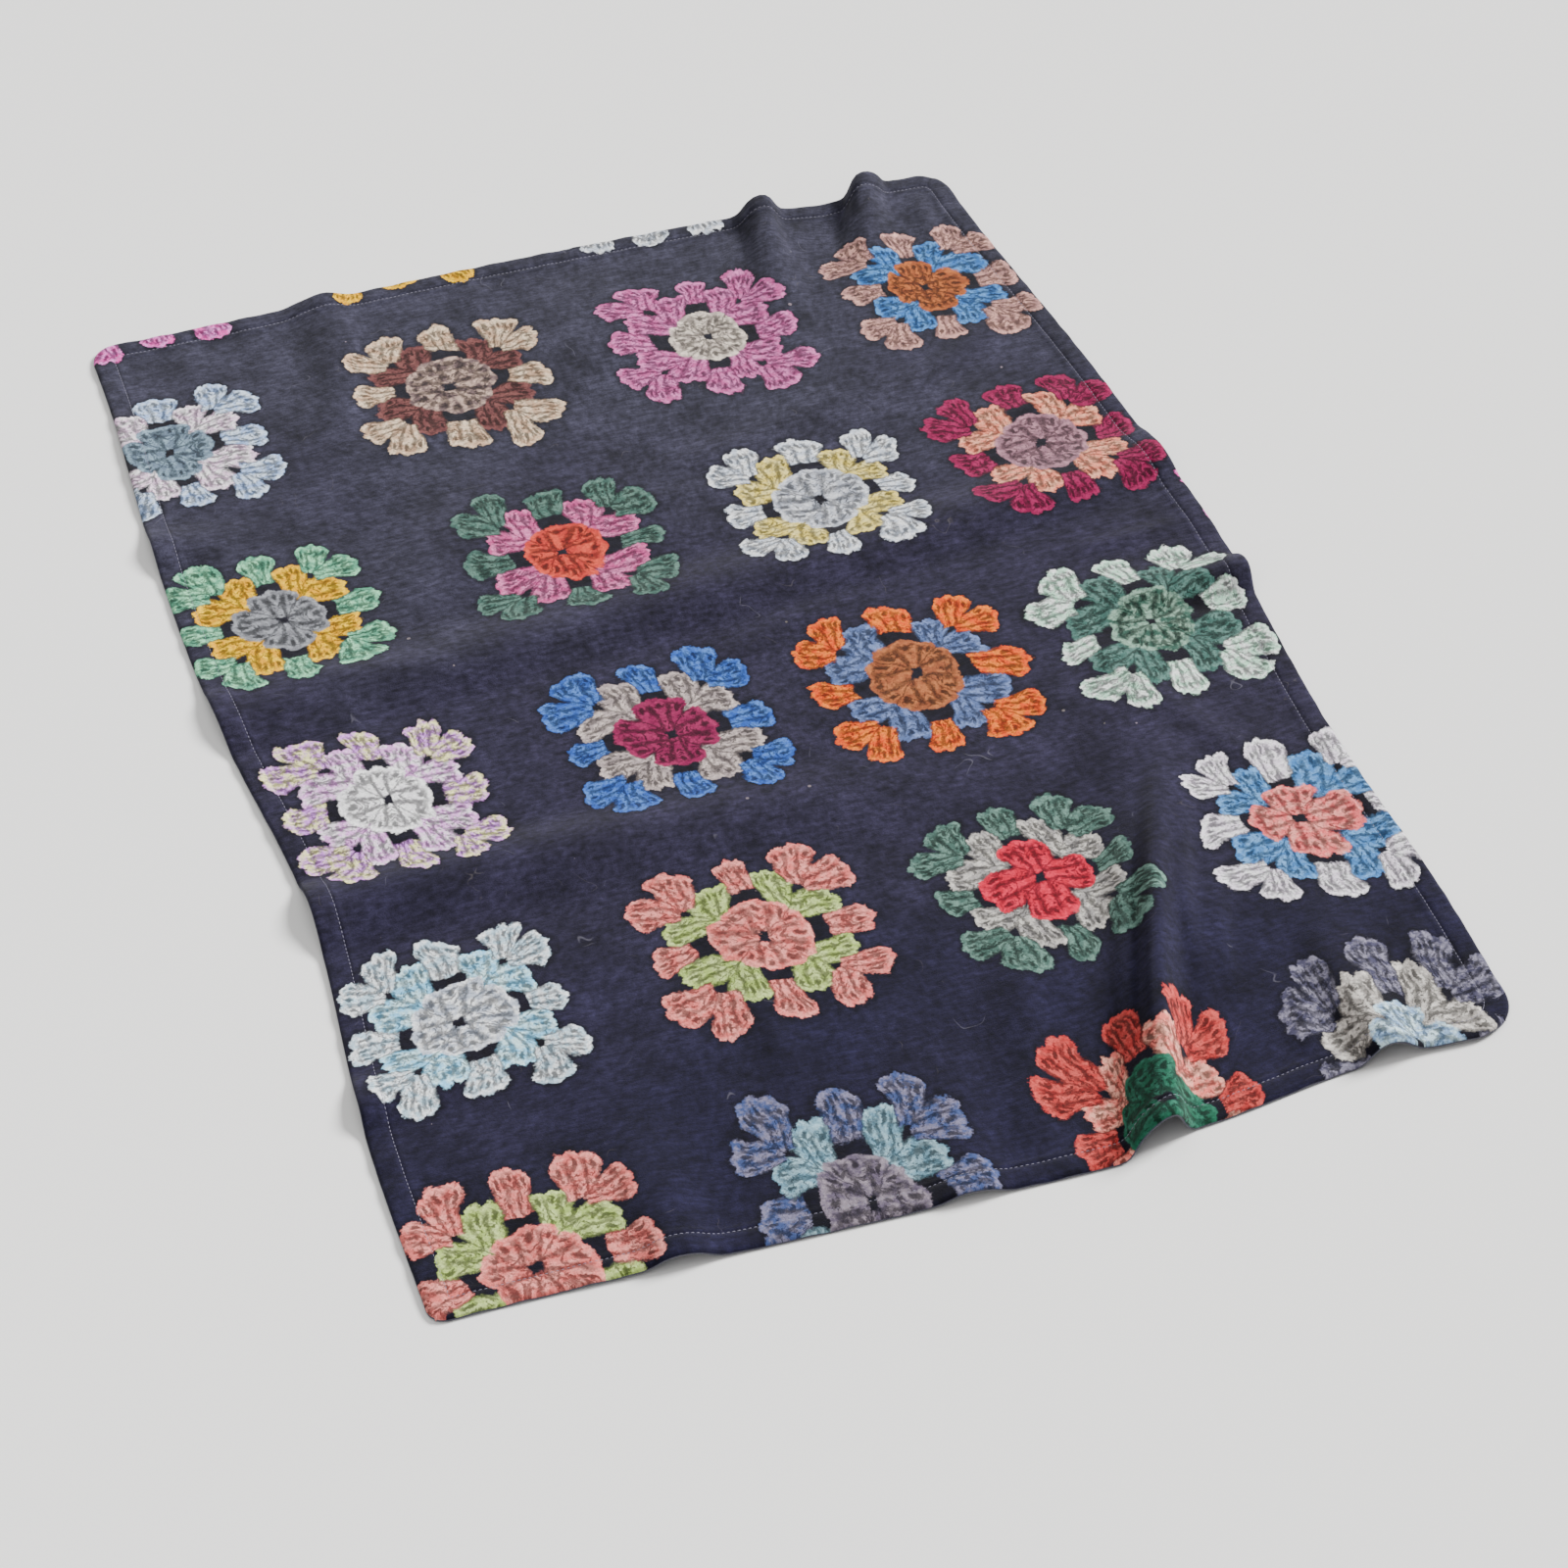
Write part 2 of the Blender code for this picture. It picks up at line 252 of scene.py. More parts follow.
# The printed squares, a row for each: its middle on the sheet, its turn in degrees, its size
# beside the usual one and its height beside its width, how round its inner round is (from 0, a
# clover of four fans, to 1, a disc), and the yarns of its three rounds from the middle out
Square = namedtuple("Square", "x y turn size tall disc inner middle outer")
SQUARES = [Square(*row) for row in (
    # the top edge cuts these off
    (-0.430, 0.778, 2, 1.00, 1.00, 0.5, "stone", "blush white", "candy pink"),
    (-0.150, 0.782, -1, 1.00, 1.00, 0.5, "rust", "white", "golden yellow"),
    (0.125, 0.778, 1, 1.00, 1.00, 0.5, "grey", "denim", "pearl"),
    # first whole row
    (-0.450, 0.492, 4, 0.98, 1.00, 0.5, "slate blue", "blush white", "ice blue"),
    (-0.148, 0.505, -6, 1.02, 1.00, 1.0, "mauve marl", "chestnut", "oatmeal"),
    (0.130, 0.500, -5, 1.00, 1.00, 1.0, "stone", "orchid", "orchid"),
    (0.398, 0.508, -3, 0.96, 1.00, 0.4, "rust", "cornflower", "taupe pink"),
    # second row
    (-0.405, 0.205, 2, 0.96, 1.00, 0.6, "grey", "golden yellow", "mint marl"),
    (-0.112, 0.212, -3, 0.98, 1.00, 1.0, "orange red", "rose pink", "sage green"),
    (0.152, 0.208, -2, 0.98, 1.00, 0.7, "silver", "primrose", "pearl"),
    (0.396, 0.215, 3, 0.98, 1.00, 0.8, "mauve taupe", "peach", "crimson"),
    # the right edge cuts this one off
    (0.602, 0.062, 2, 1.00, 1.00, 0.5, "white", "rose pink", "candy pink"),
    # third row
    (-0.385, -0.082, -2, 1.00, 1.00, 0.6, "white", "lilac", "pastel mix"),
    (-0.100, -0.075, 1, 1.00, 1.00, 0.4, "burgundy", "warm grey", "royal blue"),
    (0.150, -0.078, -1, 1.02, 1.00, 0.9, "copper", "denim", "orange"),
    (0.390, -0.085, 5, 0.98, 1.05, 0.9, "forest marl", "teal green", "mint white"),
    # fourth row
    (-0.392, -0.372, 3, 1.00, 1.00, 0.7, "light grey", "pale blue", "cool white"),
    (-0.105, -0.362, 0, 1.00, 1.00, 1.0, "salmon", "light green", "salmon"),
    (0.152, -0.372, 2, 0.94, 1.04, 0.1, "red", "pebble", "sea green"),
    (0.425, -0.378, -4, 1.00, 1.06, 0.2, "coral", "sky blue", "shell white"),
    # fifth row, cut off by the near hem
    (-0.400, -0.678, 2, 1.00, 1.16, 0.7, "salmon", "light green", "salmon"),
    (-0.118, -0.682, -2, 0.98, 1.30, 0.8, "grey mauve", "aqua", "indigo marl"),
    (0.150, -0.684, 3, 0.96, 1.28, 0.5, "bottle green", "light salmon", "red orange"),
    (0.398, -0.708, -2, 0.98, 1.46, 0.4, "smoke blue", "greige", "heather marl"),
)]

# The clusters of a square, in millimetres: three rounds of clusters of three stitches. Mirrors
# repeat each one round the square. base is where it springs from, heading its direction in
# degrees, narrow and wide its half-widths at the base and at the wide end, and bend the share by
# which its wide end curves back at the sides.
Cluster = namedtuple("Cluster", "base_x base_y heading length narrow wide bend")
INNER_CLUSTER = Cluster(7.5, 0.0, 0.0, 47.0, 16.0, 27.0, 0.22)
MIDDLE_CLUSTER = Cluster(27.0, 28.0, 6.0, 53.0, 11.0, 21.5, 0.12)
OUTER_SIDE_CLUSTER = Cluster(62.0, 0.0, 0.0, 42.0, 11.5, 20.5, 0.22)
OUTER_CORNER_CLUSTER = Cluster(60.0, 56.0, 8.0, 45.0, 10.5, 21.0, 0.22)

# Where the inner round is a disc, its clusters are shorter, and wide enough to meet in an arc
IN_DISC = {"length": 37.0, "wide": 36.0, "bend": 0.40}

# A cluster starts a little behind its base and widens over a share of its length. The loop of
# each of its stitches bulges from its end by a share of its length.
STITCHES = 3.0
START_BEHIND = 2.0
WIDEST_AT = 0.80
LOOP_BULGE = 0.075

# The streaks of shadow between a cluster's strands: their length in millimetres, how many lie
# side by side in a stitch, the run over which they lean out by one, and how far they change from
# one half of a stitch to the next and over the sheet, so that no two clusters are alike
STREAK_LENGTH = 8.0
STREAKS_ACROSS = 3.2
STREAK_LEAN = 5.0
STREAK_STEP = 2.3
STREAK_SLICES = (12.0, 17.0, 0.0)

# The plies of a strand: their length, how they slant across a stitch and how dark they are
PLY_LENGTH = 6.5
PLY_SLANT = 9.0
PLY_DEPTH = 0.07

# The dark eye of a stitch: how far it is from the rim, and how fast it fades along the stitch,
# to the millimetre, and across it
EYE_INSET = 11.5
EYE_ALONG = 0.17
EYE_ACROSS = 5.4

# How a value between start and end is turned into one between low and high
Fade = namedtuple("Fade", "start end low high", defaults=(0.0, 1.0))
# the lines between stitches, where strands break them and where they end before the rim
RIB_FADE = Fade(-1.0, 0.1)
RIB_BREAK_FADE = Fade(0.45, 0.62, 0.0, 0.34)
RIB_END_FADE = Fade(2.0, 9.0, 1.0, 0.0)
# the streaks, how they end before the rim, the eye, and the light on the rim
STREAK_FADE = Fade(0.37, 0.49)
STREAK_END_FADE = Fade(1.0, 8.0, 0.85, 0.10)
EYE_FADE = Fade(0.2, 1.25)
RIM_FADE = Fade(2.5, 8.0, 1.0, 0.90)
# the change from one shade of a yarn to the other, its grain, the dark line that parts the two
# clusters of a corner, the light that a shaded strand keeps, and the soft edge of the print
FLECK_FADE = Fade(0.40, 0.60)
GRAIN_FADE = Fade(0.3, 0.7, 0.74, 1.26)
PARTING_FADE = Fade(0.3, 2.6, 0.15, 1.0)
LIGHT_FADE = Fade(0.0, 1.0, 0.17, 1.02)
COVER_FADE = Fade(-1.5, 1.1)
# the shade on the ground round the clusters, and in the gaps inside a square
ROUND_FADE = Fade(-8.0, -1.0, 1.0, 0.50)
GAP_FADE = Fade(58.0, 70.0, 0.34, 1.0)

# The noise patterns of the cloth, in repeats to the metre. Real fibres and grain are finer: they
# are drawn 1 to 4 mm apart, so that they show, and the thread's plies 0.7 mm. Clumps of pile
# are 6 mm and yarn flecks 11 mm.
PILE_FIBRES = 900.0
PILE_CLUMPS = 170.0
CLUMP_WEIGHT = 0.7
PILE_DEPTH = 0.0012
YARN_FLECKS = 88.0
YARN_GRAIN = 480.0
REVERSE_GRAIN = 240.0
THREAD_PLIES = 1400.0

# The unevenness of stitches made by hand: the repeats to the metre of each wander of the print,
# its detail, and its reach in millimetres
Wander = namedtuple("Wander", "scale detail reach")
WANDERS = (
    # whole clusters, single stitches, and the fuzz of the yarn at their edges
    Wander(13.0, 0.0, 26.0),
    Wander(46.0, 1.0, 12.0),
    Wander(360.0, 2.0, 5.5),
)

# The ground: its tint at the near hem, and between which places along the sheet it turns into
# the next ones, lighter and greyer towards the head, partly as the print's own tints and partly
# as painted sheen. A slow noise shifts these places.
GROUND_TINT = "#161428"
GROUND_TINT_AND_SHEEN_TURNS = ((-0.25, 0.35, "#221f30"), (0.45, 0.95, "#2d2c39"))
GROUND_DRIFT = 3.1
GROUND_DRIFT_REACH = 0.9

# Its mottling: the repeats to the metre along each side, the noise, and the tones it gives
Mottle = namedtuple("Mottle", "scale detail roughness tones")
MOTTLES = (
    # soft worn patches of 60 mm
    Mottle((17.0, 17.0, 17.0), 7.0, 0.72, Fade(0.30, 0.70, 0.44, 1.66)),
    # clumps of 7 mm
    Mottle((135.0, 135.0, 135.0), 2.0, 0.60, Fade(0.30, 0.70, 0.66, 1.36)),
    # knit rows 4 mm apart
    Mottle((60.0, 260.0, 60.0), 2.0, 0.60, Fade(0.32, 0.68, 0.70, 1.32)),
)

# Its stray hairs: the repeats to the metre, the start of the noise and the tint of each kind,
# how thin they are, and in how few places they lie
HAIRS = ((16.0, 0.0, "#8e8b98"), (23.0, 5.0, "#77706f"))
HAIR_FADE = Fade(0.0008, 0.0030, 0.20, 0.0)
HAIR_PLACES = 22.0
HAIR_PLACES_START = 9.0
HAIR_PLACE_FADE = Fade(0.63, 0.67)

# Its lint: the cells to the metre, of which a few hold a fleck, how large those are, how well
# they cover, and the tints between which they lie
LINT_CELLS = 34.0
LINT_SIZE_FADE = Fade(0.80, 1.0, 0.0, 0.075)
LINT_COVER = 0.6
LINT_TINTS = ("#6b675a", "#a592a0")

# The kinds of node that the materials use most
VECTOR_MATHS = "ShaderNodeVectorMath"
RAMP = "ShaderNodeMapRange"
NOISE = "ShaderNodeTexNoise"
MIX = "ShaderNodeMix"
SMOOTH = {"interpolation_type": "SMOOTHSTEP"}


def smooth_step(share):
    """Rises from 0 to 1 without a corner as share goes from 0 to 1."""
    share = np.clip(share, 0.0, 1.0)
    return share * share * (3.0 - 2.0 * share)


def rounded(x, y):
    """Moves points of the square-cornered sheet so that its corners are round."""
    near_radius = np.where(x > 0.0, NEAR_RIGHT_RADIUS, NEAR_LEFT_RADIUS)
    radius = np.where(y < 0.0, near_radius, FAR_RADIUS)
    past_x = np.abs(x) - (WIDTH / 2 - radius)
    past_y = np.abs(y) - (LENGTH / 2 - radius)
    corner = (past_x > 0.0) & (past_y > 0.0)
    squeeze = np.maximum(past_x, past_y) / np.maximum(np.hypot(past_x, past_y), 1e-9)
    new_x = np.copysign(WIDTH / 2 - radius + past_x * squeeze, x)
    new_y = np.copysign(LENGTH / 2 - radius + past_y * squeeze, y)
    return np.where(corner, new_x, x), np.where(corner, new_y, y)


def run_of(line, x, y):
    """A fold's direction, how far along it points lie, and how far across, past its bow."""
    run_x = line.end_x - line.start_x
    run_y = line.end_y - line.start_y
    length = math.hypot(run_x, run_y)
    run_x /= length
    run_y /= length
    along = ((x - line.start_x) * run_x + (y - line.start_y) * run_y) / length
    across = (y - line.start_y) * run_x - (x - line.start_x) * run_y
    share = np.clip(along, 0.0, 1.0)
    across = across - line.bow * 4.0 * share * (1.0 - share)
    return run_x, run_y, along, share, across


def fold_at(fold, x, y):
    """The lift of one fold at points of the sheet, and its pull in the plane."""
    run_x, run_y, along, share, across = run_of(fold, x, y)
    strength = np.ones_like(x)
    if fold.fade_start:
        strength = strength * smooth_step(along / fold.fade_start)
    if fold.fade_end:
        strength = strength * smooth_step((1.0 - along) / fold.fade_end)
    height = strength * (fold.start_height + (fold.end_height - fold.start_height) * share)
    half_width = fold.start_half_width + (fold.end_half_width - fold.start_half_width) * share
    place = across / half_width
    inside = np.abs(place) < 1.0
    crest = place - fold.lean * (1.0 - place * place) / 2
    lift = np.where(inside, height * np.cos(math.pi * crest / 2) ** 2, 0.0)

    # the cloth that goes up into the ridge is drawn in from both sides
    taken = (math.pi * height) ** 2 / (8.0 * half_width)
    near = place - np.sin(2 * math.pi * place) / (2 * math.pi)
    far = np.copysign(np.exp((half_width - np.abs(across)) / PULL_REACH), place)
    pull = -np.where(inside, near, far) * taken / 2
    return lift, -run_y * pull, run_x * pull


def crease_height(crease, x, y):
    """A fine soft crease that dies away at both ends."""
    _, _, along, _, across = run_of(crease, x, y)
    strength = smooth_step(along / CREASE_RISE) * smooth_step((1.0 - along) / CREASE_FALL)
    place = across / crease.half_width
    return crease.height * strength * np.exp(-(place ** 2) * CREASE_SHARPNESS)


def billow_height(x, y):
    """The height of the long low waves, which touch the surface in many places."""
    wave = np.full_like(x, -BILLOW_SINK)
    for billow in BILLOWS:
        turns = x / billow.length_x + y / billow.length_y
        wave = wave + billow.height * np.sin(2 * math.pi * turns + billow.start)
    rise = np.maximum(wave, 0.0)
    return rise * rise / (rise + BILLOW_SETTLE)


def laid(x, y):
    """Where points of the flat sheet lie in the throw, as laid out on the surface."""
    x, y = rounded(x, y)
    new_x, new_y, height = x.copy(), y.copy(), billow_height(x, y)
    for fold in FOLDS:
        lift, pull_x, pull_y = fold_at(fold, x, y)
        height = height + lift
        new_x = new_x + pull_x
        new_y = new_y + pull_y
    for drift in DRIFTS:
        far_x = (x - drift.x) / drift.reach_x
        far_y = (y - drift.y) / drift.reach_y
        strength = np.exp(-far_x * far_x - far_y * far_y)
        new_x = new_x + drift.shift_x * strength
        new_y = new_y + drift.shift_y * strength
    for crease in CREASES:
        height = height + crease_height(crease, x, y)
    return new_x, new_y, height


def sheet_lines(size):
    """The fine grid's lines across one side: close together beside the edges."""
    half = size / 2
    field = half - EDGE_LINES[-1]
    cells = round(2 * field / CELL)
    inner = [-field + 2 * field * step / cells for step in range(1, cells)]
    near = [-half + inset for inset in EDGE_LINES]
    far = [half - inset for inset in reversed(EDGE_LINES)]
    return np.array(near + inner + far)


def select_only(piece):
    """Selects one object and makes it the active one."""
    bpy.ops.object.select_all(action="DESELECT")
    bpy.context.view_layer.objects.active = piece
    piece.select_set(True)


def edge_distance(x, y):
    """How far points of the flat sheet lie inside its edge."""
    return np.minimum(WIDTH / 2 - np.abs(x), LENGTH / 2 - np.abs(y))


def pucker(x, y):
    """The hem's small waves, strongest at its outer edge."""
    inset = edge_distance(x, y)
    along = np.where(WIDTH / 2 - np.abs(x) < LENGTH / 2 - np.abs(y), y, x)
    first, second = (2 * math.pi * along / length for length in PUCKER_LENGTHS)
    wave = np.sin(first) + np.sin(second + PUCKER_OFFSET)
    return PUCKER_HEIGHT * (1.0 + wave / 2) * np.clip(1.0 - inset / PUCKER_REACH, 0.0, 1.0)


def flat_grid():
    """The sheet as a flat grid, and the place on the sheet of each of its points."""
    columns = sheet_lines(WIDTH)
    rows = sheet_lines(LENGTH)
    bpy.ops.object.select_all(action="DESELECT")
    bpy.ops.mesh.primitive_grid_add(
        x_subdivisions=len(columns) - 1, y_subdivisions=len(rows) - 1, size=1.0
    )
    throw = bpy.context.active_object
    throw.name = "fleece_throw"
    flat = np.empty(len(throw.data.vertices) * 3)
    throw.data.vertices.foreach_get("co", flat)
    flat = flat.reshape(-1, 3)
    x = columns[np.rint((flat[:, 0] + 0.5) * (len(columns) - 1)).astype(int)]
    y = rows[np.rint((flat[:, 1] + 0.5) * (len(rows) - 1)).astype(int)]
    places = throw.data.attributes.new("sheet_place", "FLOAT_VECTOR", "POINT")
    places.data.foreach_set("vector", np.stack([x, y, 0 * x], axis=1).ravel())
    return throw, x, y


def thicken(throw, x, y):
    """Gives the sheet its thickness and its turned hem, printed above and plain below."""
    shares = np.interp(edge_distance(x, y), *zip(*PROFILE))
    thick = throw.vertex_groups.new(name="thickness")
    for index, share in enumerate(shares / shares.max()):
        thick.add([index], float(share), "REPLACE")
    select_only(throw)
    cloth = throw.modifiers.new("cloth", "SOLIDIFY")
    cloth.thickness = HEM_THICKNESS * float(shares.max())
    cloth.offset = 1.0
    cloth.vertex_group = thick.name
    cloth.thickness_vertex_group = 0.0
    cloth.material_offset = 1
    cloth.material_offset_rim = 1
    throw.data.materials.append(printed_fleece())
    throw.data.materials.append(plain_fleece())
    bpy.ops.object.modifier_apply(modifier=cloth.name)
    bpy.ops.object.shade_smooth()


def make_throw():
    """The fine sheet, printed and laid into its folds, and how far it was moved to lie over the
    solid."""
    throw, x, y = flat_grid()
    print_squares(throw.data, x, y)
    new_x, new_y, height = laid(x, y)
    low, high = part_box("throw")
    middle = np.array([
        (low[0] + high[0]) / 2 - (new_x.min() + new_x.max()) / 2,
        (low[1] + high[1]) / 2 - (new_y.min() + new_y.max()) / 2,
        0.0,
    ])
    under = np.stack([new_x, new_y, height + pucker(x, y)], axis=1) + middle
    throw.data.vertices.foreach_set("co", under.ravel())
    throw.data.update()
    thicken(throw, x, y)
    return throw, middle


def cloth_top(x, y, middle):
    """Points on the top of the hem, over points of the flat sheet, and the normals there."""
    def underside(x, y):
        new_x, new_y, height = laid(x, y)
        return np.stack([new_x, new_y, height + pucker(x, y)], axis=1)

    start = underside(x, y)
    across = underside(x + PROBE, y) - start
    along = underside(x, y + PROBE) - start
    normal = np.cross(across, along)
    normal /= np.linalg.norm(normal, axis=1, keepdims=True)
    thickness = HEM_THICKNESS * np.interp(edge_distance(x, y), *zip(*PROFILE))
    return start + middle + normal * thickness[:, None], normal


def seam_places():
    """The flat places of the stitches along the seam, and the direction of each."""
    half_x = WIDTH / 2 - SEAM_INSET
    half_y = LENGTH / 2 - SEAM_INSET
    corners = [(-half_x, -half_y), (half_x, -half_y), (half_x, half_y), (-half_x, half_y)]
    places = []
    for start, end in zip(corners, corners[1:] + corners[:1]):
        run = np.subtract(end, start)
        count = round(float(np.abs(run).sum()) / STITCH_PITCH)
        for step in range(count):
            places.append((*(start + run * (step + 0.5) / count), *np.sign(run)))
    return np.array(places).T


def one_stitch():
    """One stitch of thread at the origin, along x, with its ends dipping into the cloth."""
    bpy.ops.object.select_all(action="DESELECT")
    bpy.ops.mesh.primitive_uv_sphere_add(
        segments=STITCH_SIDES, ring_count=STITCH_RINGS, radius=1.0
    )
    stitch = bpy.context.active_object
    bpy.ops.object.mode_set(mode="EDIT")
    bpy.ops.mesh.select_all(action="SELECT")
    bpy.ops.transform.rotate(value=math.pi / 2, orient_axis="Y", center_override=(0, 0, 0))
    bpy.ops.transform.resize(
        value=(STITCH_LENGTH / 2, THREAD_RADIUS, THREAD_RADIUS), center_override=(0, 0, 0)
    )
    bpy.ops.object.mode_set(mode="OBJECT")
    for vertex in stitch.data.vertices:
        share = 2 * vertex.co.x / STITCH_LENGTH
        vertex.co.z += STITCH_RISE - STITCH_DIP * share * share
    return stitch


def stitch_turns(middle):
    """How each stitch of the seam is turned and moved to its place on the hem."""
    x, y, run_x, run_y = seam_places()
    spot, normal = cloth_top(x, y, middle)
    ahead, _ = cloth_top(x + run_x * PROBE, y + run_y * PROBE, middle)
    forward = ahead - spot
    forward /= np.linalg.norm(forward, axis=1, keepdims=True)
    side = np.cross(normal, forward)
    for columns in zip(forward, side, normal, spot):
        place = Matrix([(*column, 0.0) for column in columns]).transposed()
        place[3][3] = 1.0
        yield place


def make_hem_thread(middle):
    """The lockstitches of the hem: one stitch of thread, copied along the furrow."""
    stitch = one_stitch()
    copies = []
    for place in stitch_turns(middle):
        copy = stitch.copy()
        copy.data = stitch.data.copy()
        copy.data.transform(place)
        bpy.context.scene.collection.objects.link(copy)
        copies.append(copy)

    bpy.data.objects.remove(stitch)
    bpy.ops.object.select_all(action="DESELECT")
    for copy in copies:
        copy.select_set(True)
    bpy.context.view_layer.objects.active = copies[0]
    bpy.ops.object.join()
    thread = bpy.context.active_object
    thread.name = "hem_thread"
    bpy.ops.object.shade_smooth()
    thread.data.materials.append(sewing_thread())
    return thread


def print_squares(mesh, x, y):
    """Gives each face corner its place in the nearest printed square, and that square's yarns."""
    corner_vertex = np.empty(len(mesh.loops), dtype=np.int32)
    mesh.loops.foreach_get("vertex_index", corner_vertex)
    corners = corner_vertex.reshape(len(mesh.polygons), -1)
    middle_x = x[corners].mean(axis=1)
    middle_y = y[corners].mean(axis=1)
    away = np.stack([np.hypot(middle_x - s.x, middle_y - s.y) for s in SQUARES], axis=1)
    owner = np.repeat(away.argmin(axis=1), corners.shape[1])

    def of_owner(name):
        return np.array([getattr(square, name) for square in SQUARES], dtype=float)[owner]

    turn = np.radians(of_owner("turn"))
    scale = MM_PER_METRE / of_owner("size")
    off_x = (x[corner_vertex] - of_owner("x")) * scale
    off_y = (y[corner_vertex] - of_owner("y")) * scale / of_owner("tall")
    local_x = off_x * np.cos(turn) + off_y * np.sin(turn)
    local_y = off_y * np.cos(turn) - off_x * np.sin(turn)

    square = mesh.uv_layers.new(name="square_mm")
    square.data.foreach_set("uv", np.stack([local_x, local_y], axis=1).ravel())
    disc = mesh.attributes.new("inner_disc", "FLOAT", "CORNER")
    disc.data.foreach_set("value", of_owner("disc"))
    for part in ("inner", "middle", "outer"):
        for shade in (0, 1):
            colours = np.array([linear(YARNS[getattr(s, part)][shade]) for s in SQUARES])
            layer = mesh.color_attributes.new(f"{part}_yarn_{shade}", "FLOAT_COLOR", "CORNER")
            layer.data.foreach_set("color", colours[owner].ravel())


def fill(tree, node, inputs):
    """Gives a node its inputs. Each is a value, a socket or a node to link from."""
    pairs = inputs.items() if isinstance(inputs, dict) else enumerate(inputs)
    for key, value in pairs:
        if isinstance(value, bpy.types.Node):
            value = value.outputs[0]
        if isinstance(value, bpy.types.NodeSocket):
            tree.links.new(value, node.inputs[key])
        else:
            node.inputs[key].default_value = value


def add(tree, kind, inputs=(), **settings):
    """Adds a node with its settings and inputs. A kind in capitals is a sum: a Math node."""
    if kind.isupper():
        kind, settings = "ShaderNodeMath", {"operation": kind}
    node = tree.nodes.new(kind)
    for name, value in settings.items():
        setattr(node, name, value)
    fill(tree, node, inputs)
    return node


def new_material(name):
    """A new material, the tree that it is made in and its shader."""
    material = bpy.data.materials.new(name)
    material.use_nodes = True
    tree = material.node_tree
    return material, tree, tree.nodes["Principled BSDF"]


def new_cluster_tree():
    """The empty node group of a cluster, with its inputs and outputs."""
    tree = bpy.data.node_groups.new("stitch_cluster", "ShaderNodeTree")
    for name in ("Place X", "Place Y", "Base X", "Base Y", "Cosine", "Sine",
                 "Length", "Narrow", "Wide", "Bend", "Slice"):
        tree.interface.new_socket(name, in_out="INPUT", socket_type="NodeSocketFloat")
    for name in ("Depth", "Shade"):
        tree.interface.new_socket(name, in_out="OUTPUT", socket_type="NodeSocketFloat")
    return tree


def cluster_outline(tree, given):
    """Where a place lies in a cluster: how far ahead of its base, how far across it from -1 to
    1, and how far inside its end and inside its whole outline."""
    off_x = add(tree, "SUBTRACT", (given["Place X"], given["Base X"]))
    off_y = add(tree, "SUBTRACT", (given["Place Y"], given["Base Y"]))
    ahead_x = add(tree, "MULTIPLY", (off_x, given["Cosine"]))
    ahead = add(tree, "MULTIPLY_ADD", (off_y, given["Sine"], ahead_x))
    side_x = add(tree, "MULTIPLY", (off_x, given["Sine"]))
    side_y = add(tree, "MULTIPLY", (off_y, given["Cosine"]))
    side = add(tree, "SUBTRACT", (side_y, side_x))
    share = add(tree, "DIVIDE", (ahead, given["Length"]))

    # its sides are straight, as far as it widens
    half_width = add(tree, RAMP, (share, 0.0, WIDEST_AT, given["Narrow"], given["Wide"]))
    place = add(tree, "DIVIDE", (side, half_width))
    flank = add(tree, "ABSOLUTE", (side,))
    flank = add(tree, "SUBTRACT", (half_width, flank))

    # the wide end is an arc, with a loop on each stitch
    square = add(tree, "MULTIPLY", (place, place))
    bent = add(tree, "MULTIPLY", (given["Bend"], -1.0))
    loop = add(tree, "MULTIPLY", (place, math.pi * STITCHES / 2))
    loop = add(tree, "COSINE", (loop,))
    loop = add(tree, "ABSOLUTE", (loop,))
    loop = add(tree, "MULTIPLY_ADD", (loop, LOOP_BULGE, 1.0 - LOOP_BULGE))
    end = add(tree, "MULTIPLY_ADD", (square, bent, loop))
    end = add(tree, "SUBTRACT", (end, share))
    rim = add(tree, "MULTIPLY", (end, given["Length"]))
    start = add(tree, "ADD", (ahead, START_BEHIND))
    depth = add(tree, "MINIMUM", (flank, rim))
    depth = add(tree, "MINIMUM", (depth, start))
    return ahead, place, rim, depth


def strand_noise(tree, ahead, place, half, slice_at):
    """The noise of the strands, which lean out from the middle of each stitch. Each half of a
    stitch has its own."""
    along = add(tree, "MULTIPLY", (ahead, 1 / STREAK_LENGTH))
    across = add(tree, "MULTIPLY", (ahead, -1 / STREAK_LEAN))
    across = add(tree, "MULTIPLY_ADD", (half, STREAKS_ACROSS, across))
    number = add(tree, "MULTIPLY", (place, STITCHES))
    number = add(tree, "FLOOR", (number,))
    number = add(tree, "MULTIPLY_ADD", (number, STREAK_STEP, slice_at))
    spot = add(tree, "ShaderNodeCombineXYZ", (along, across, number))
    return add(tree, NOISE, {"Vector": spot, "Scale": 1.0, "Detail": 1.5, "Roughness": 0.6})


def stitch_eye(tree, stitch, rim):
    """The dark eye where the loop of each stitch begins."""
    across = add(tree, "MULTIPLY", (stitch, EYE_ACROSS))
    across = add(tree, "MULTIPLY", (across, across))
    along = add(tree, "ADD", (rim, -EYE_INSET))
    along = add(tree, "MULTIPLY", (along, EYE_ALONG))
    eye = add(tree, "MULTIPLY_ADD", (along, along, across))
    return add(tree, RAMP, (eye, *EYE_FADE), **SMOOTH)


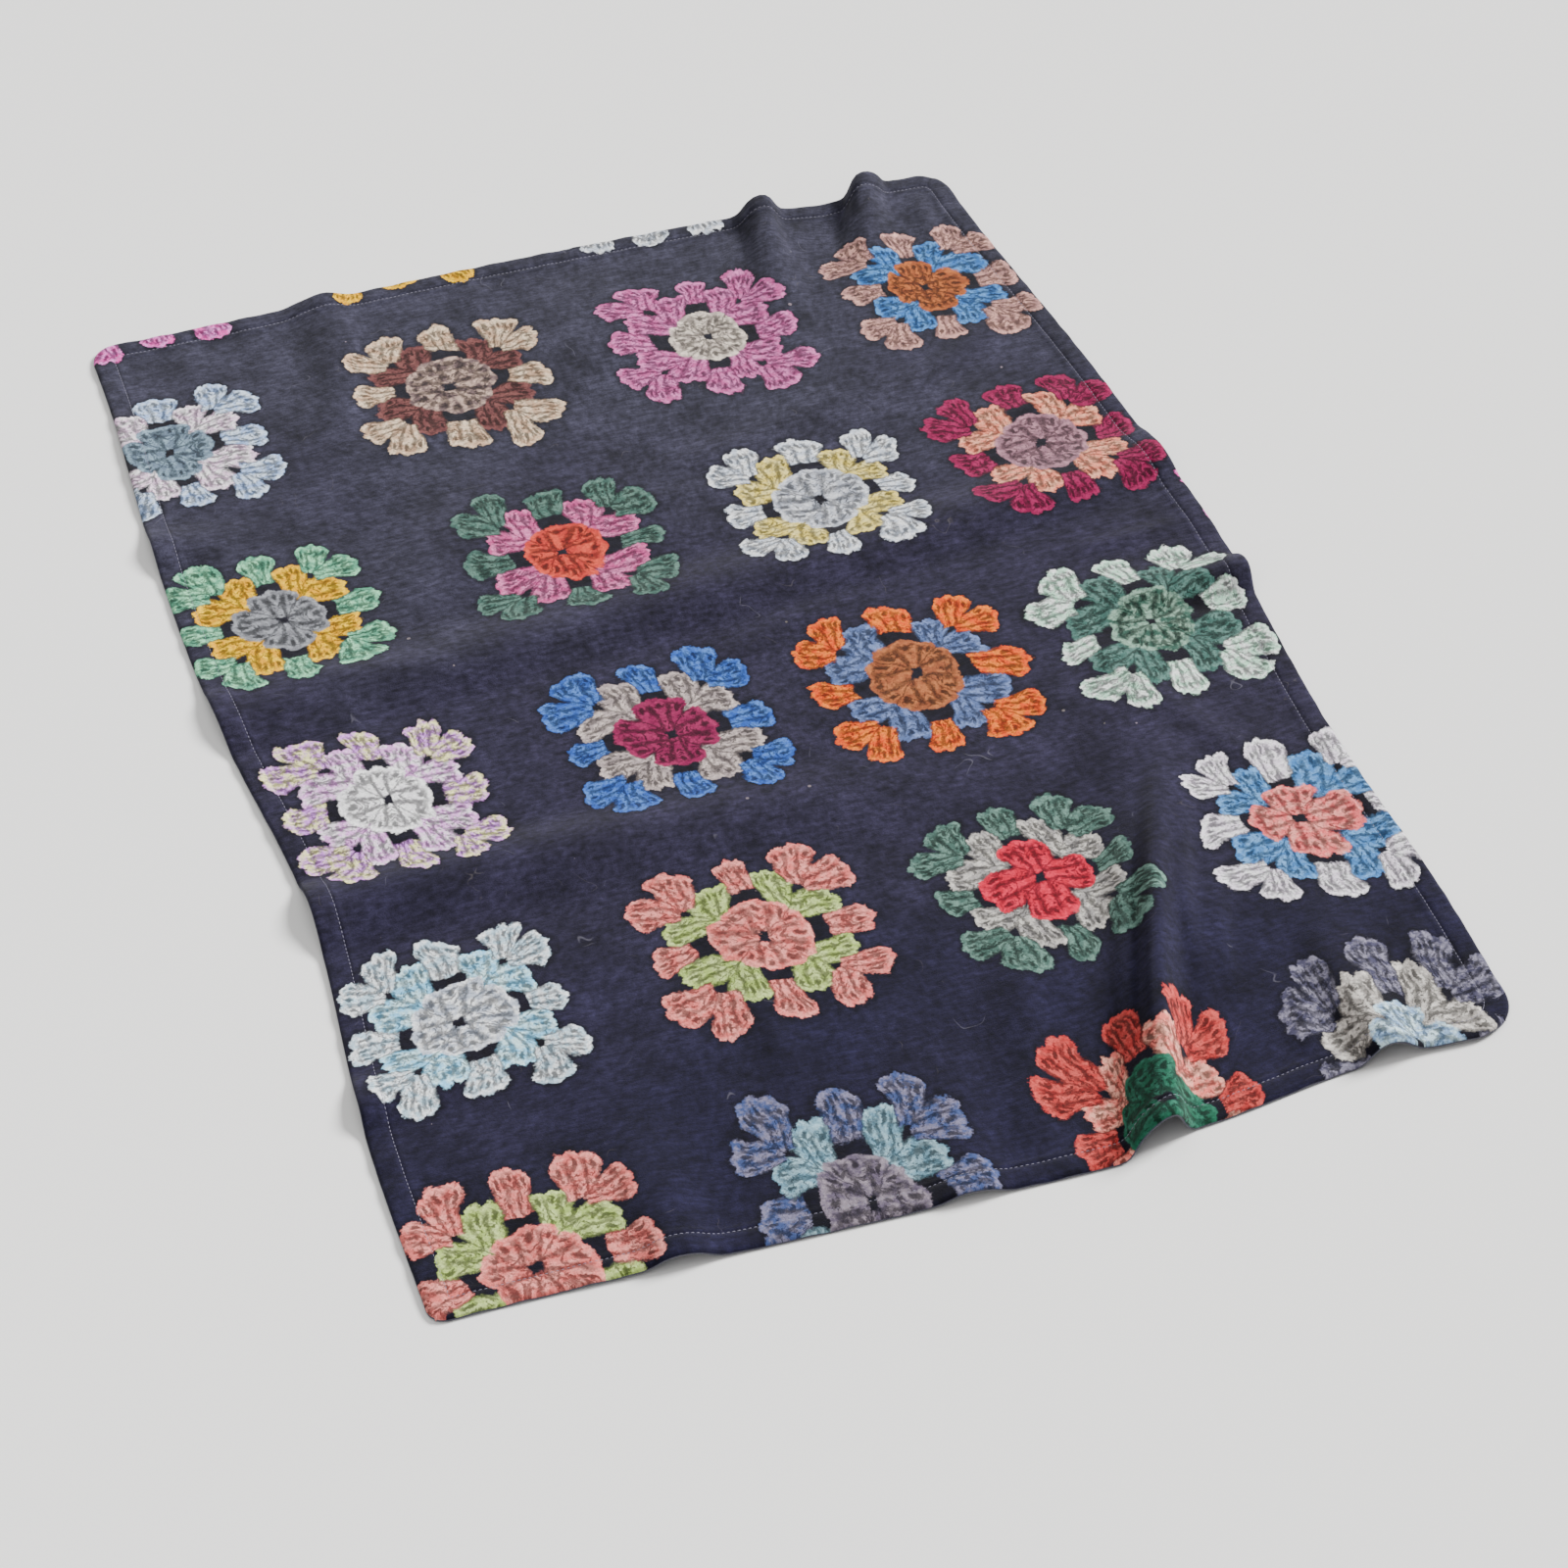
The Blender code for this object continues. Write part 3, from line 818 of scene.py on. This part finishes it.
def cluster_group():
    """A node group that draws one cluster of three stitches, with its loops at the wide end."""
    tree = new_cluster_tree()
    given = tree.nodes.new("NodeGroupInput").outputs
    ahead, place, rim, depth = cluster_outline(tree, given)

    # how far a place is from the middle of its stitch
    stitch = add(tree, "MULTIPLY_ADD", (place, STITCHES / 2, 0.5))
    stitch = add(tree, "FRACT", (stitch,))
    stitch = add(tree, "ADD", (stitch, -0.5))
    half = add(tree, "ABSOLUTE", (stitch,))

    # dark lines between the stitches, as far as their loops, with strands across them
    strands = strand_noise(tree, ahead, place, half, given["Slice"])
    rib = add(tree, "MULTIPLY", (place, math.pi * STITCHES))
    rib = add(tree, "COSINE", (rib,))
    rib = add(tree, RAMP, (rib, *RIB_FADE), **SMOOTH)
    rib_end = add(tree, RAMP, (rim, *RIB_END_FADE), **SMOOTH)
    rib = add(tree, "MAXIMUM", (rib, rib_end))
    breaks = add(tree, RAMP, (strands, *RIB_BREAK_FADE), **SMOOTH)
    rib = add(tree, "MAXIMUM", (rib, breaks))

    # shadow in streaks between the strands, least at the rim
    streaks = add(tree, RAMP, (strands, *STREAK_FADE), **SMOOTH)
    streak_end = add(tree, RAMP, (rim, *STREAK_END_FADE), **SMOOTH)
    streaks = add(tree, "MAXIMUM", (streaks, streak_end))

    # the plies of the strands
    plies = add(tree, "MULTIPLY", (ahead, 2 * math.pi / PLY_LENGTH))
    plies = add(tree, "MULTIPLY_ADD", (half, -PLY_SLANT, plies))
    plies = add(tree, "COSINE", (plies,))
    plies = add(tree, "MULTIPLY_ADD", (plies, PLY_DEPTH, 1.0 - PLY_DEPTH))

    # the loops of the rim stand up into the light
    rim_light = add(tree, RAMP, (rim, *RIM_FADE), **SMOOTH)
    shade = add(tree, "MINIMUM", (rib, stitch_eye(tree, stitch, rim)))
    shade = add(tree, "MINIMUM", (shade, streaks))
    shade = add(tree, "MULTIPLY", (shade, plies))
    shade = add(tree, "MULTIPLY", (shade, rim_light))
    add(tree, "NodeGroupOutput", {"Depth": depth, "Shade": shade})
    return tree


def draw_cluster(tree, group, cluster, place_x, place_y, slice_at):
    """One cluster of the square, drawn by the node group at its base and heading."""
    heading = math.radians(cluster.heading)
    return add(tree, "ShaderNodeGroup", {
        "Place X": place_x, "Place Y": place_y, "Slice": slice_at,
        "Base X": cluster.base_x, "Base Y": cluster.base_y,
        "Cosine": math.cos(heading), "Sine": math.sin(heading),
        "Length": cluster.length, "Narrow": cluster.narrow, "Wide": cluster.wide,
        "Bend": cluster.bend,
    }, node_tree=group)


def fleece_bump(tree, place):
    """The short brushed pile: fine fibres and soft clumps, as a bump."""
    fibres = add(tree, NOISE, {
        "Vector": place, "Scale": PILE_FIBRES, "Detail": 3.0, "Roughness": 0.6,
    })
    clumps = add(tree, NOISE, {
        "Vector": place, "Scale": PILE_CLUMPS, "Detail": 3.0, "Roughness": 0.55,
    })
    height = add(tree, "MULTIPLY_ADD", (clumps, CLUMP_WEIGHT, fibres))
    return add(tree, "ShaderNodeBump", {
        "Strength": 0.55, "Distance": PILE_DEPTH, "Height": height,
    })


def hand_made_place(tree, place):
    """How far a place in the printed square is from its middle, along each side, with the
    unevenness of stitches made by hand."""
    spot = add(tree, "ShaderNodeUVMap", uv_map="square_mm")
    for wander in WANDERS:
        noise = add(tree, NOISE, {
            "Vector": place, "Scale": wander.scale, "Detail": wander.detail,
        })
        shift = add(tree, VECTOR_MATHS, (noise.outputs["Color"], (0.5, 0.5, 0.5)),
                    operation="SUBTRACT")
        shift = add(tree, VECTOR_MATHS, {0: shift, "Scale": wander.reach}, operation="SCALE")
        spot = add(tree, VECTOR_MATHS, (spot, shift), operation="ADD")
    spot = add(tree, VECTOR_MATHS, (spot,), operation="ABSOLUTE")
    return add(tree, "ShaderNodeSeparateXYZ", (spot,)).outputs


def ground_tint_and_sheen(tree, place):
    """The ground: navy at the near hem, plum grey, then slate at the head. Its lightening
    towards the head is partly the print's own tint and partly painted sheen.
    """
    run = add(tree, "ShaderNodeSeparateXYZ", (place,))
    drift = add(tree, NOISE, {"Vector": place, "Scale": GROUND_DRIFT, "Detail": 2.0})
    run = add(tree, "MULTIPLY_ADD", (drift, GROUND_DRIFT_REACH, run.outputs[1]))
    ground = linear(GROUND_TINT)
    # each turn lightens the ground towards the head: partly print, partly painted sheen
    for start, end, tint in GROUND_TINT_AND_SHEEN_TURNS:
        slope = add(tree, RAMP, (run, start, end), **SMOOTH)
        ground = add(tree, MIX, {
            "Factor": slope, "A": ground, "B": linear(tint),
        }, data_type="RGBA").outputs["Result"]
    return ground


def mottled(tree, place, ground):
    """The ground, lighter and darker in worn patches, clumps and knit rows."""
    shade = 1.0
    for mottle in MOTTLES:
        spot = add(tree, "ShaderNodeMapping", {"Vector": place, "Scale": mottle.scale})
        tone = add(tree, NOISE, {
            "Vector": spot, "Scale": 1.0, "Detail": mottle.detail, "Roughness": mottle.roughness,
        })
        tone = add(tree, RAMP, (tone, *mottle.tones))
        shade = add(tree, "MULTIPLY", (shade, tone))
    return add(tree, VECTOR_MATHS, {0: ground, "Scale": shade}, operation="SCALE")


def with_hairs(tree, place, ground):
    """The ground with stray hairs: thin bent lines, only in some places."""
    for scale, start, tint in HAIRS:
        line = add(tree, NOISE, {
            "Vector": place, "Scale": scale, "Detail": 1.5, "W": start,
        }, noise_dimensions="4D")
        line = add(tree, "SUBTRACT", (line, 0.5))
        line = add(tree, "ABSOLUTE", (line,))
        line = add(tree, RAMP, (line, *HAIR_FADE))
        where = add(tree, NOISE, {
            "Vector": place, "Scale": HAIR_PLACES, "Detail": 1.0, "W": start + HAIR_PLACES_START,
        }, noise_dimensions="4D")
        where = add(tree, RAMP, (where, *HAIR_PLACE_FADE))
        line = add(tree, "MULTIPLY", (line, where))
        ground = add(tree, MIX, {
            "Factor": line, "A": ground, "B": linear(tint),
        }, data_type="RGBA").outputs["Result"]
    return ground


def with_lint(tree, place, ground):
    """The ground with lint: small flecks, each of its own tint."""
    lint = add(tree, "ShaderNodeTexVoronoi", {
        "Vector": place, "Scale": LINT_CELLS,
    })
    chance = add(tree, "ShaderNodeSeparateColor", (lint.outputs["Color"],))
    size = add(tree, RAMP, (chance.outputs[0], *LINT_SIZE_FADE))
    fleck = add(tree, "LESS_THAN", (lint.outputs["Distance"], size))
    fleck = add(tree, "MULTIPLY", (fleck, LINT_COVER))
    dark, pale = (linear(tint) for tint in LINT_TINTS)
    tint = add(tree, MIX, {
        "Factor": chance.outputs[1], "A": dark, "B": pale,
    }, data_type="RGBA").outputs["Result"]
    return add(tree, MIX, {
        "Factor": fleck, "A": ground, "B": tint,
    }, data_type="RGBA").outputs["Result"]


def felted_ground(tree, place):
    """The printed ground: felted wool with knit rows, hairs and lint."""
    ground = mottled(tree, place, ground_tint_and_sheen(tree, place))
    return with_lint(tree, place, with_hairs(tree, place, ground))


def inner_cluster(tree):
    """The cluster of the inner round: a clover's or a disc's, or between the two."""
    disc = add(tree, "ShaderNodeAttribute", attribute_name="inner_disc").outputs["Fac"]
    return INNER_CLUSTER._replace(**{
        name: add(tree, RAMP, {
            "Value": disc, "To Min": getattr(INNER_CLUSTER, name), "To Max": in_disc,
        })
        for name, in_disc in IN_DISC.items()
    })


def draw_rounds(tree, place, place_x, place_y):
    """The depth and the shade of each round, in the order in which they are laid over each
    other."""
    slice_at = add(tree, VECTOR_MATHS, (place, STREAK_SLICES),
                   operation="DOT_PRODUCT").outputs["Value"]
    group = cluster_group()
    rounds = {
        "middle": (MIDDLE_CLUSTER,),
        "outer": (OUTER_SIDE_CLUSTER, OUTER_CORNER_CLUSTER),
        "inner": (inner_cluster(tree),),
    }
    drawn = {}
    for part, clusters in rounds.items():
        first, *others = (
            draw_cluster(tree, group, cluster, place_x, place_y, slice_at) for cluster in clusters
        )
        depth, shade = first.outputs["Depth"], first.outputs["Shade"]
        for other in others:
            nearer = add(tree, "GREATER_THAN", (other.outputs["Depth"], depth))
            shade = add(tree, MIX, {
                "Factor": nearer, "A": shade, "B": other.outputs["Shade"],
            })
            depth = add(tree, "MAXIMUM", (other.outputs["Depth"], depth))
        drawn[part] = depth, shade
    return drawn


def shaded_ground(tree, ground, drawn, place_x, grain):
    """The ground, darkest in the gaps of a square and a little shaded round it."""
    (middle, _), (outer, _), (inner, _) = drawn.values()
    reach = add(tree, "MAXIMUM", (middle, outer))
    reach = add(tree, "MAXIMUM", (reach, inner))
    around = add(tree, RAMP, (reach, *ROUND_FADE), **SMOOTH)
    inside = add(tree, RAMP, (place_x, *GAP_FADE), **SMOOTH)
    shade = add(tree, "MINIMUM", (around, inside))
    shade = add(tree, "MULTIPLY", (shade, grain))
    return add(tree, VECTOR_MATHS, {0: ground, "Scale": shade}, operation="SCALE")


def lay_yarns(tree, place, colour, drawn, diagonal, grain):
    """The yarns of the three rounds over the ground, flecked from one shade into the other."""
    fleck = add(tree, NOISE, {
        "Vector": place, "Scale": YARN_FLECKS, "Detail": 4.0, "Roughness": 0.65,
    })
    fleck = add(tree, RAMP, (fleck, *FLECK_FADE), **SMOOTH)
    parting = add(tree, RAMP, (diagonal, *PARTING_FADE), **SMOOTH)
    for part, (depth, shade) in drawn.items():
        main, second = (
            add(tree, "ShaderNodeAttribute", attribute_name=f"{part}_yarn_{number}")
            for number in (0, 1)
        )
        yarn = add(tree, MIX, {
            "Factor": fleck, "A": main.outputs["Color"], "B": second.outputs["Color"],
        }, data_type="RGBA").outputs["Result"]
        light = add(tree, "MINIMUM", (shade, parting))
        light = add(tree, RAMP, (light, *LIGHT_FADE))
        light = add(tree, "MULTIPLY", (light, grain))
        yarn = add(tree, VECTOR_MATHS, {0: yarn, "Scale": light}, operation="SCALE")
        cover = add(tree, RAMP, (depth, *COVER_FADE), **SMOOTH)
        colour = add(tree, MIX, {
            "Factor": cover, "A": colour, "B": yarn,
        }, data_type="RGBA").outputs["Result"]
    return colour


def printed_fleece():
    """Printed flannel fleece: polyester knit with a short brushed pile, so it is quite dull
    with a faint pale sheen at a slant, and its printed colours are a little soft."""
    material, tree, shader = new_material("printed_flannel_fleece")

    # mirrors fold the square into an eighth of it
    place = add(tree, "ShaderNodeAttribute", attribute_name="sheet_place").outputs["Vector"]
    off_x, off_y, _ = hand_made_place(tree, place)
    place_x = add(tree, "MAXIMUM", (off_x, off_y))
    place_y = add(tree, "MINIMUM", (off_x, off_y))
    diagonal = add(tree, "SUBTRACT", (place_x, place_y))

    grain = add(tree, NOISE, {
        "Vector": place, "Scale": YARN_GRAIN, "Detail": 3.0, "Roughness": 0.7,
    })
    grain = add(tree, RAMP, (grain, *GRAIN_FADE))
    drawn = draw_rounds(tree, place, place_x, place_y)
    ground = shaded_ground(tree, felted_ground(tree, place), drawn, place_x, grain)
    colour = lay_yarns(tree, place, ground, drawn, diagonal, grain)

    fill(tree, shader, {
        "Base Color": colour, "Normal": fleece_bump(tree, place), "Roughness": 0.94,
        "Specular IOR Level": 0.12, "Sheen Weight": 0.09, "Sheen Roughness": 0.45,
    })
    return material


def plain_fleece():
    """The unprinted reverse of the fleece: plain navy, with the same short pile."""
    material, tree, shader = new_material("plain_flannel_fleece")
    place = add(tree, "ShaderNodeAttribute", attribute_name="sheet_place").outputs["Vector"]
    grain = add(tree, NOISE, {
        "Vector": place, "Scale": REVERSE_GRAIN, "Detail": 4.0, "Roughness": 0.7,
    })
    colour = add(tree, MIX, {
        "Factor": grain, "A": linear("#1c1c2a"), "B": linear("#34344a"),
    }, data_type="RGBA").outputs["Result"]
    fill(tree, shader, {
        "Base Color": colour, "Normal": fleece_bump(tree, place), "Roughness": 0.94,
        "Sheen Weight": 0.2, "Sheen Roughness": 0.5,
    })
    return material


def sewing_thread():
    """Spun polyester thread: muted lilac grey, dull, with the twist of its plies as a bump."""
    material, tree, shader = new_material("spun_polyester_thread")
    place = add(tree, "ShaderNodeTexCoord").outputs["Object"]
    plies = add(tree, NOISE, {"Vector": place, "Scale": THREAD_PLIES, "Detail": 1.0})
    colour = add(tree, MIX, {
        "Factor": plies, "A": linear("#6d6a82"), "B": linear("#95929f"),
    }, data_type="RGBA").outputs["Result"]
    bump = add(tree, "ShaderNodeBump", {
        "Strength": 0.4, "Distance": 0.0002, "Height": plies,
    })
    fill(tree, shader, {"Base Color": colour, "Normal": bump, "Roughness": 0.7})
    return material


def floor_paint():
    """Smooth white seamless paper: dull and very pale."""
    material, tree, shader = new_material("white_paper")
    fill(tree, shader, {"Base Color": linear("#f4f3f1"), "Roughness": 0.8})
    return material


FLOOR_SIZE = 60.0
FLOOR_DROP = 0.0006


def make_floor():
    """The plain pale floor that the throw lies on."""
    bpy.ops.object.select_all(action="DESELECT")
    bpy.ops.mesh.primitive_plane_add(size=FLOOR_SIZE, location=(0.0, 0.0, -FLOOR_DROP))
    floor = bpy.context.active_object
    floor.name = "floor"
    floor.data.materials.append(floor_paint())


# The camera: to the left front of the throw and above it, with a long lens
CAMERA_AZIMUTH = -19.0
CAMERA_ELEVATION = 43.0
CAMERA_DISTANCE = 3.62
CAMERA_TARGET = (-0.022, -0.172, 0.0)
CAMERA_LENS_MM = 90.0
CAMERA_SENSOR_MM = 36.0
CAMERA_CLIP_END = 50.0


def make_camera():
    """The camera, at the photograph's viewing angle."""
    azimuth = math.radians(CAMERA_AZIMUTH)
    elevation = math.radians(CAMERA_ELEVATION)
    back = Vector((
        math.sin(azimuth) * math.cos(elevation),
        -math.cos(azimuth) * math.cos(elevation),
        math.sin(elevation),
    ))
    data = bpy.data.cameras.new("camera")
    data.lens = CAMERA_LENS_MM
    data.sensor_width = CAMERA_SENSOR_MM
    data.clip_end = CAMERA_CLIP_END
    camera = bpy.data.objects.new("camera", data)
    bpy.context.scene.collection.objects.link(camera)
    camera.location = Vector(CAMERA_TARGET) + back * CAMERA_DISTANCE
    camera.rotation_euler = back.to_track_quat("Z", "Y").to_euler()
    bpy.context.scene.camera = camera


# The key light: far off to the right and low enough to shade the folds, as wide as a softbox
KEY_FROM = (2.9, 0.7, 1.9)
KEY_SPREAD = 19.0
KEY_POWER = 7.7

# The softboxes: their places, their sides in metres and their power in watts
SOFTBOXES = {
    "fill": ((-2.6, -2.2, 2.8), 3.0, 34.0),
    "top": ((0.0, 0.2, 4.0), 4.0, 60.0),
}
WORLD_LIGHT = 0.36


def add_lamp(name, kind, place, power):
    """A lamp at a place, aimed at the throw."""
    data = bpy.data.lights.new(name, kind)
    data.energy = power
    lamp = bpy.data.objects.new(name, data)
    lamp.location = place
    lamp.rotation_euler = Vector(place).to_track_quat("Z", "Y").to_euler()
    bpy.context.scene.collection.objects.link(lamp)
    return data


def make_lights():
    """The soft studio light: the key, the softboxes and a white world."""
    key = add_lamp("key", "SUN", KEY_FROM, KEY_POWER)
    key.angle = math.radians(KEY_SPREAD)
    for name, (place, size, power) in SOFTBOXES.items():
        box = add_lamp(name, "AREA", place, power)
        box.shape = "SQUARE"
        box.size = size
    world = bpy.data.worlds.new("studio")
    world.use_nodes = True
    back = world.node_tree.nodes["Background"]
    back.inputs["Color"].default_value = (1.0, 1.0, 1.0, 1.0)
    back.inputs["Strength"].default_value = WORLD_LIGHT
    bpy.context.scene.world = world


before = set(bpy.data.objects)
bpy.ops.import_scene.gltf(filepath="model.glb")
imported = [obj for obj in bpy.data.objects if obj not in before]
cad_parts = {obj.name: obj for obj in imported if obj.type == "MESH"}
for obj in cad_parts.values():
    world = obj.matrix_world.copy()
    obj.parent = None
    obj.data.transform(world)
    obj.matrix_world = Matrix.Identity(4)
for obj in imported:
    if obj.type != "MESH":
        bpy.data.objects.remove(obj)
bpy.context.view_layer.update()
make_camera()
make_lights()
make_floor()

throw, middle = make_throw()
thread = make_hem_thread(middle)
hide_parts("throw")
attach(throw, "root")
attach(thread, "root")
